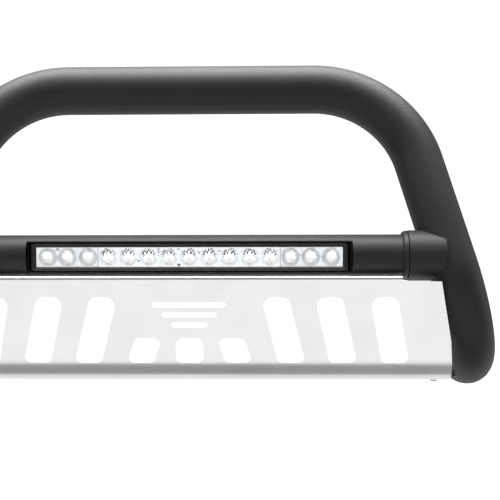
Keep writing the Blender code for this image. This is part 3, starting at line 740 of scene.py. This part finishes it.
def make_plate():
    """The bent stainless sheet with its side outline, notches, slots and bolt holes."""
    made = prism("skid_plate_sheet", plate_section(), -PLATE_HALF_BOTTOM, PLATE_HALF_BOTTOM, AXES["X"],
                 STEEL)
    side = ((PLATE_HALF_TOP, 0), (PLATE_HALF_TOP, NOTCH_Z - 1 * MM), (PLATE_HALF_LOW, -130 * MM),
            (PLATE_HALF_BOTTOM, -188 * MM), (PLATE_HALF_BOTTOM - 4 * MM, PLATE_BOTTOM - 30 * MM))
    outline = list(side) + [(-x, z) for x, z in reversed(side)]
    cut(made, prism("keep", outline, -80 * MM, 80 * MM, UPRIGHT, STEEL), "INTERSECT")
    for sign in (-1, 1):
        for low, reach in ((NOTCH_Z, 80 * MM), (FLANGE_NOTCH_Z, 39 * MM)):
            place = Matrix.Translation((sign * (NOTCH_X + 50 * MM), 0, low + 20 * MM)) @ UPRIGHT
            cut(made, prism("notch", rounded(50 * MM, 20 * MM, 3 * MM), -80 * MM, reach, place, STEEL))
    cut(made, leg_tool(LEG_GAP))
    slots = [(x, lean, TALL_TOP, TALL_TOP_R) for x, lean in TALL_SLOTS]
    slots += [(x, lean, SHORT_TOP, SHORT_TOP_R) for x, lean in SHORT_SLOTS]
    for x, lean, top, radius in slots:
        for sign in ((-1, 1) if x else (1,)):
            outline = leaning_slot(sign * x * MM, sign * lean, top, radius)
            cut(made, prism("slot", outline, -60 * MM, 60 * MM, UPRIGHT, STEEL))
    for length, z in BAR_CUTS:
        outline = rounded(length / 2 * MM, BAR_CUT_H / 2, BAR_CUT_H / 2 - 0.1 * MM, 8)
        place = Matrix.Translation((0, 0, z * MM)) @ UPRIGHT
        cut(made, prism("bar", outline, -60 * MM, 60 * MM, place, STEEL))
    for sign in (-1, 1):
        hole = turned("hole", ((-0.24, 0), (-0.24, 4.5 * MM), (-0.17, 4.5 * MM), (-0.17, 0)),
                      at(sign * LOW_BOLT_X, LOW_BOLT_Y, 0), STEEL, 48)
        cut(made, hole)
    soften(made, 0.35 * MM, 2)
    piece(made, GUARD, "brushed_stainless", "skid_plate")


# ---------------------------------------------------------------- light tube and lamp
def make_light_tube():
    """The cross tube with its pocket and the holes in its back."""
    inner = TUBE_R - TUBE_WALL
    profile = ((-TUBE_HALF, inner), (-TUBE_HALF, TUBE_R), (TUBE_HALF, TUBE_R), (TUBE_HALF, inner))
    made = turned("light_tube_skin", profile, at(0, 0, 0, "X"), COAT, 128, True)
    outline = rounded(POCKET_HALF_X, POCKET_HALF_Z, POCKET_R)
    cut(made, prism("pocket", outline, -50 * MM, POCKET_BACK, at(0, 0, 0, "Y"), COAT))
    for x, r in ((-LAMP_BOLT_X, 3.5 * MM), (LAMP_BOLT_X, 3.5 * MM), (GLAND_X, 6.2 * MM)):
        profile = ((20 * MM, 0), (20 * MM, r), (50 * MM, r), (50 * MM, 0))
        cut(made, turned("hole", profile, at(x, 0, 0, "Y"), COAT, 48))
    made.data.set_sharp_from_angle(angle=math.radians(35))
    bevel = made.modifiers.new("edges", "BEVEL")
    bevel.width = 0.7 * MM
    bevel.segments = 3
    bevel.limit_method = "ANGLE"
    bevel.angle_limit = math.radians(40)
    bevel.harden_normals = True
    piece(made, LIGHT, "black_coat", "light_tube")


def make_pocket_liner():
    """The pocket's liner with its sloping front edge."""
    front = -20.8 * MM
    profile = ((0, front + 0.4 * MM), (0.4 * MM, front), (1.3 * MM, front - 0.2 * MM),
               (1.7 * MM, front + 0.2 * MM), (3.0 * MM, front + 3.6 * MM), (3.0 * MM, -13 * MM),
               (0, -13 * MM))
    made = framed("pocket_liner", profile, POCKET_HALF_X - GAP, POCKET_HALF_Z - GAP, POCKET_R - GAP, COAT)
    piece(made, LIGHT, "black_coat", "pocket_frame")


def make_bezel():
    """The lamp's bezel round the lens."""
    lip = -23.2 * MM
    border = LAMP_HALF_Z - WINDOW_HALF.z
    profile = ((0, LAMP_FRONT - GAP), (0, lip + 1.0 * MM), (0.3 * MM, lip + 0.3 * MM), (1.0 * MM, lip),
               (border - 2.0 * MM, lip), (border - 1.6 * MM, lip + 0.3 * MM),
               (border - 0.3 * MM, lip + 1.6 * MM), (border, lip + 2.0 * MM), (border, LAMP_FRONT - GAP))
    made = framed("lamp_bezel_rim", profile, WINDOW_HALF.x + border, LAMP_HALF_Z, 3 * MM, ANODISED)
    piece(made, LIGHT, "black_aluminium", "lamp_bezel")


def cup_outline(turn, row, flood):
    """How far a cup's wall stands from round: fine flutes in a flood cup, flat facets in a spot cup."""
    if flood:
        return 1 + 0.02 * math.sin(FLOOD_FLUTES * turn)
    step = 2 * math.pi / SPOT_FACETS
    local = (turn + (row % 2) * step / 2) % step - step / 2
    return math.cos(step / 2) / math.cos(local)


def make_reflector(name, first, last, flood, material):
    """A plated block with a curved cup for each emitter."""
    front = LAMP_FRONT + LENS_T + 0.7 * MM
    back = LAMP_FLOOR - GAP - BOARD_T - 2.2 * MM
    edge = LED_COUNT // 2
    low = (first - 0.5) * LED_PITCH + GAP if first > -edge else -WINDOW_HALF.x + 0.7 * MM
    high = (last + 0.5) * LED_PITCH - GAP if last < edge else WINDOW_HALF.x - 0.7 * MM
    half = WINDOW_HALF.z - 0.1 * MM
    sides = 96
    rows = 12 if flood else 5
    turns = [2 * math.pi * j / sides for j in range(sides)]
    bm = bmesh.new()
    for k in range(first, last + 1):
        centre = k * LED_PITCH
        left = low if k == first else centre - LED_PITCH / 2
        right = high if k == last else centre + LED_PITCH / 2
        outer = []
        for turn in turns:
            c = math.cos(turn)
            s = math.sin(turn)
            reach_x = ((right - centre) if c > 0 else (centre - left)) / max(abs(c), 1e-9)
            size = min(reach_x, half / max(abs(s), 1e-9))
            outer.append(bm.verts.new((centre + size * c, front, size * s)))
        rings = [outer]
        for row in range(rows + 1):
            deep = row / rows
            radius = CUP_BACK_R + (CUP_FRONT_R - CUP_BACK_R) * (1 - deep) ** 0.6
            y = front + (back - front) * deep
            middle = -EMITTER_DROP * deep ** 1.5
            sizes = [radius * cup_outline(turn, row, flood) for turn in turns]
            rings.append([bm.verts.new((centre + r * math.cos(a), y, middle + r * math.sin(a)))
                          for r, a in zip(sizes, turns)])
        rings.append([bm.verts.new((v.co.x, back + 0.6 * MM, v.co.z)) for v in rings[-1]])
        rings.append([bm.verts.new((v.co.x, back + 0.6 * MM, v.co.z)) for v in outer])
        skin(bm, rings, True)
    bmesh.ops.remove_doubles(bm, verts=bm.verts, dist=0.00001)
    made = make_object(name + "_cups", bm, material, 30 if flood else 8)
    piece(made, LIGHT, "mirror_plating", name)


def make_board():
    """The white board and what stands on it."""
    back = LAMP_FLOOR - GAP
    front = back - BOARD_T
    outline = rounded(LAMP_HALF_X - 4 * MM, 14 * MM, 2 * MM, 6)
    made = prism("board_plate", outline, front, back, at(0, 0, 0, "Y"), MASK)
    soften(made, 0.2 * MM, 2)
    piece(made, LIGHT, "white_board", "led_board")
    make_emitters(front)


def make_emitters(front):
    """On the board, for each emitter: a white frame ring and the clear dome over its phosphor."""
    rings = bmesh.new()
    domes = bmesh.new()
    half = LED_COUNT // 2
    curve = [math.pi / 2 * k / 6 for k in range(7)]
    for k in range(-half, half + 1):
        place = at(k * LED_PITCH, 0, -EMITTER_DROP, "Y")
        ring = ((front + 0.1 * MM, 2.9 * MM), (front - 1.4 * MM, 2.9 * MM), (front - 1.7 * MM, 3.2 * MM),
                (front - 1.7 * MM, 4.0 * MM), (front - 1.4 * MM, 4.4 * MM), (front + 0.1 * MM, 4.4 * MM))
        turned_into(rings, ring, place, 48, True)
        dome = [(front + 0.1 * MM, 0), (front + 0.1 * MM, 2.7 * MM), (front - 0.8 * MM, 2.7 * MM)]
        dome += [(front - 0.8 * MM - 1.3 * MM * math.sin(c), 2.5 * MM * math.cos(c)) for c in curve[:-1]]
        dome.append((front - 2.1 * MM, 0))
        turned_into(domes, dome, place, 40)
    piece(make_object("emitter_rings", rings, RING_WHITE_PAINTED_GLOW), LIGHT, "white_board")
    piece(make_object("emitter_domes", domes, PHOSPHOR_PAINTED_GLOW), LIGHT, "white_board")


def make_gland():
    """The rubber gland where the lamp's lead leaves the tube."""
    inside = TUBE_R - TUBE_WALL - 1.7 * MM
    outside = TUBE_R + 0.4 * MM
    profile = [(inside - 3 * MM, 3 * MM), (inside - 3 * MM, 8 * MM), (inside, 8 * MM), (inside, 5.7 * MM),
               (outside, 5.7 * MM), (outside, 8.8 * MM), (outside + 0.4 * MM, 9 * MM),
               (outside + 2.6 * MM, 9 * MM), (outside + 3 * MM, 8.6 * MM), (outside + 3.6 * MM, 6.8 * MM)]
    for k in range(4):
        z = outside + (4.2 + 1.4 * k) * MM
        crest = (6.6 - 0.35 * k) * MM
        groove = (5.6 - 0.25 * k) * MM
        profile += [(z, crest), (z + 0.6 * MM, crest), (z + 0.7 * MM, groove), (z + 1.3 * MM, groove)]
    profile += [(outside + 10 * MM, 4.7 * MM), (outside + 10 * MM, 3 * MM)]
    made = turned("cable_gland_skin", profile, at(GLAND_X, 0, 0, "Y"), RUBBER, 64, True)
    piece(made, LIGHT, "black_rubber", "cable_gland")


def make_cap_screws(side, sign):
    """The small screws that hold a lamp end cap."""
    for word, up in (("upper", 1), ("lower", -1)):
        head = LAMP_HALF_X + GAP + CAP_T + 0.3 * MM
        profile = [(LAMP_HALF_X + 0.2 * MM, 0), (LAMP_HALF_X + 0.2 * MM, 0.9 * MM), (head, 0.9 * MM),
                   (head, 2.8 * MM), (head + 0.5 * MM, 2.8 * MM), (head + 1.2 * MM, 2.4 * MM),
                   (head + 1.6 * MM, 1.6 * MM), (head + 1.6 * MM, 0.9 * MM), (head + 1.0 * MM, 0.4 * MM),
                   (head + 1.0 * MM, 0)]
        place = at(0, -2.9 * MM, up * 13 * MM, "X")
        made = turned(f"cap_screw_skin_{side}_{word}", [(sign * a, r) for a, r in profile], place, ZINC, 32)
        piece(made, LIGHT, "zinc_steel", f"cap_screw_{side}_{word}")


# ---------------------------------------------------------------- CAD nodes that keep their shape
def dress(node, material, width=0.0, segments=3):
    """Gives a CAD node its material and, where asked, rounded edges."""
    made = frame["nodes"][node]
    made.data.materials.clear()
    made.data.materials.append(material)
    if width:
        soften(made, width, segments)


def make_plate_fixings(side, sign):
    """The plate's upper stud with its nut."""
    top = Vector(PLATE_LINE[1]) * MM
    low = Vector(PLATE_LINE[2]) * MM
    along = (low - top).normalized()
    back = Vector((-along.y, along.x))
    spot = top + along * STUD_DOWN + back * PLATE_T
    face = Matrix(((1, 0, 0), (0, -along.x, back.x), (0, -along.y, back.y))).to_4x4()
    place = Matrix.Translation((sign * STUD_X, spot.x, spot.y)) @ face
    bm = bmesh.new()
    rows = [(0.4 * MM, 5.2 * MM), (0.6 * MM, 5.5 * MM), (1.2 * MM, 5.3 * MM), (1.3 * MM, M8_R),
            (5 * MM, M8_R)]
    rows += thread_rows(6 * MM, 19 * MM, M8_R, 1.25 * MM) + [(19.2 * MM, M8_R), (20 * MM, M8_R - 0.9 * MM)]
    skin(bm, [round_ring(bm, place, z, r) for z, r in rows])
    piece(make_object(f"plate_stud_skin_{side}", bm, ZINC, 30), GUARD, "zinc_steel", f"plate_stud_{side}")
    seat = 1.8 * MM + 4 * MM + GAP
    make_nut(f"stud_nut_skin_{side}", seat, seat + 6.5 * MM, 13 * MM, M8_R + 0.4 * MM, place, GUARD,
             f"stud_nut_{side}")


def make_lower_bolt(side, sign):
    """A button-head bolt through the plate's lower flange, with a hex socket in its head."""
    place = at(sign * LOW_BOLT_X, LOW_BOLT_Y, PLATE_BOTTOM - 2 * GAP - WASHER_T)
    down = place @ Matrix.Rotation(math.pi, 4, "X")
    bm = bmesh.new()
    rings = [round_ring(bm, down, -22 * MM, M8_R - 0.8 * MM)]
    rings += [round_ring(bm, down, z, r) for z, r in thread_rows(-21.2 * MM, -4 * MM, M8_R, 1.25 * MM)]
    rings += [round_ring(bm, down, 0, M8_R), round_ring(bm, down, 0, 6.9 * MM)]
    rings += [round_ring(bm, down, 0.6 * MM + 3.8 * MM * math.sin(t), 3.1 * MM + 3.9 * MM * math.cos(t))
              for t in [math.pi / 2 * k / 10 for k in range(11)]]
    rings += hex_rings(bm, down, [(4.4 * MM, 2.9 * MM), (4.2 * MM, 2.75 * MM), (2 * MM, 2.75 * MM)], 5 * MM)
    skin(bm, rings)
    piece(make_object(f"lower_bolt_skin_{side}", bm, ZINC, 30), GUARD, "zinc_steel", f"lower_bolt_{side}")


for side, sign in SIDES:
    make_lower_bolt(side, sign)
    make_socket(side, sign)
    make_bush(side, sign)
    make_flange_weld(side, sign)
    make_clamp_screws(side, sign)
    make_plate_fixings(side, sign)
    make_cap_screws(side, sign)
    make_hex_bolt(f"lamp_bolt_skin_{side}", M6_R, 10 * MM, 4 * MM, 32 * MM, 1.0 * MM,
                  at(sign * LAMP_BOLT_X, TUBE_R + 0.5 * MM, 0, "Y"), LIGHT, f"lamp_bolt_{side}")
    dress(f"mount_flange_{side}", COAT, 0.8 * MM)
    dress(f"upper_tab_{side}", COAT, 0.5 * MM)
    dress(f"lower_tab_{side}", COAT, 0.5 * MM)
    dress(f"lower_washer_{side}", ZINC, 0.2 * MM)
    dress(f"lower_nut_{side}", ZINC, 0.4 * MM)
    dress(f"lamp_end_cap_{side}", ANODISED, 0.6 * MM)
make_hoop()
make_plate()
make_light_tube()
make_pocket_liner()
make_bezel()
make_reflector("reflector_spot", -(SPOT_COUNT // 2), SPOT_COUNT // 2, False, SPOT)
make_reflector("reflector_flood_left", -(LED_COUNT // 2), -(SPOT_COUNT // 2) - 1, True, FLOOD)
make_reflector("reflector_flood_right", SPOT_COUNT // 2 + 1, LED_COUNT // 2, True, FLOOD)
make_board()
make_gland()
dress("lamp_housing", ANODISED, 0.25 * MM, 2)
dress("lamp_lens", LENS)
dress("lens_seal", RUBBER)


# ---------------------------------------------------------------- stage, light, camera
CAMERA_AZIMUTH = math.radians(2.2)
CAMERA_ELEVATION = math.radians(5.5)
CAMERA_ROLL = math.radians(0.31)
CAMERA_DISTANCE = 2.117
LENS_MM = 98.86
SENSOR_MM = 36
SHIFT = (0.1213, 0.0118)
FLOOR_BELOW = 0.45
FLOOR_FLAT = 9.0
FLOOR_BEND = 3.0
WALL_TOP = 12.0


def floor_surface():
    """Pale paint that glows a little, so that the stage stays white where no light reaches it."""
    made, nodes, links, shader = new_material("floor_pale", 0.0, (0.6, 0.6, 0.6), 0.9)
    shader.inputs["Emission Color"].default_value = (1, 1, 1, 1)
    shader.inputs["Emission Strength"].default_value = 0.9
    shade = add_noise(nodes, links, 0.7, 2)
    links.new(add_ramp(nodes, links, shade, (0.59, 0.59, 0.59), (0.6, 0.6, 0.6)), shader.inputs["Base Color"])
    return made


def make_stage():
    """A pale floor that curves up into a backdrop on all sides. Only the camera sees it."""
    floor_z = CAD_LOW.z - FLOOR_BELOW
    turns = [math.pi / 2 * k / 12 for k in range(1, 13)]
    profile = [(0, 0), (FLOOR_FLAT / 2, 0), (FLOOR_FLAT, 0)]
    profile += [(FLOOR_FLAT + FLOOR_BEND * math.sin(t), FLOOR_BEND * (1 - math.cos(t))) for t in turns]
    profile += [(FLOOR_FLAT + FLOOR_BEND, WALL_TOP)]
    bm = bmesh.new()
    rows = []
    for r, z in profile:
        count = 64 if r else 1
        turned_row = [2 * math.pi * k / count for k in range(count)]
        rows.append([bm.verts.new((r * math.cos(t), r * math.sin(t), z)) for t in turned_row])
    skin(bm, rows, capped=False)
    bm.transform(Matrix.Translation(Vector((0, 0, floor_z)) - AXIS))
    floor = make_object("studio_floor", bm, floor_surface())
    floor.visible_diffuse = False
    floor.visible_glossy = False
    floor.visible_shadow = False


def area_light(name, place, aim, size, radiance):
    """A soft panel at a place, turned to a point, of a given radiance. The camera doesn't see it."""
    data = bpy.data.lights.new(name, "AREA")
    data.shape = "RECTANGLE"
    data.size, data.size_y = size
    data.energy = math.pi * size[0] * size[1] * radiance
    made = bpy.data.objects.new(name, data)
    made.location = place
    made.rotation_mode = "QUATERNION"
    made.rotation_quaternion = (Vector(aim) - Vector(place)).to_track_quat("-Z", "Y")
    made.visible_camera = False
    bpy.context.scene.collection.objects.link(made)


def make_light():
    """A dim room, a wide softbox overhead, white cards on the floor before and behind, one at the right."""
    world = bpy.data.worlds.new("studio_air")
    bpy.context.scene.world = world
    world.use_nodes = True
    air = world.node_tree.nodes["Background"]
    air.inputs["Color"].default_value = (1, 1, 1, 1)
    air.inputs["Strength"].default_value = 0.31
    y = AXIS.y
    area_light("overhead_softbox", (0, y + 0.5, 2.3), (0, y + 0.4, 0), (3.4, 2.1), 11.5)
    area_light("front_floor_card", (0, -2.5, -0.9), (0, -2.2, 0.5), (7.0, 3.2), 0.72)
    area_light("back_floor_card", (0, 1.75, -0.9), (0, 1.5, 0.5), (7.0, 3.2), 0.6)
    area_light("right_card", (3.2, 0.2, 0.5), (0.4, y, 0.3), (1.6, 2.2), 1.1)


def make_camera():
    """The photo's camera, fitted to the hoop's outline."""
    data = bpy.data.cameras.new("camera")
    data.sensor_width = SENSOR_MM
    data.lens = LENS_MM
    data.shift_x, data.shift_y = SHIFT
    made = bpy.data.objects.new("camera", data)
    a, e = CAMERA_AZIMUTH, CAMERA_ELEVATION
    back = Vector((math.sin(a) * math.cos(e), -math.cos(a) * math.cos(e), math.sin(e)))
    turn = (-back).to_track_quat("-Z", "Y").to_matrix().to_4x4() @ Matrix.Rotation(-CAMERA_ROLL, 4, "Z")
    made.matrix_world = Matrix.Translation(AXIS + back * CAMERA_DISTANCE) @ turn
    bpy.context.scene.collection.objects.link(made)
    bpy.context.scene.camera = made
    bpy.context.scene.view_settings.view_transform = "Standard"


make_stage()
make_light()
make_camera()
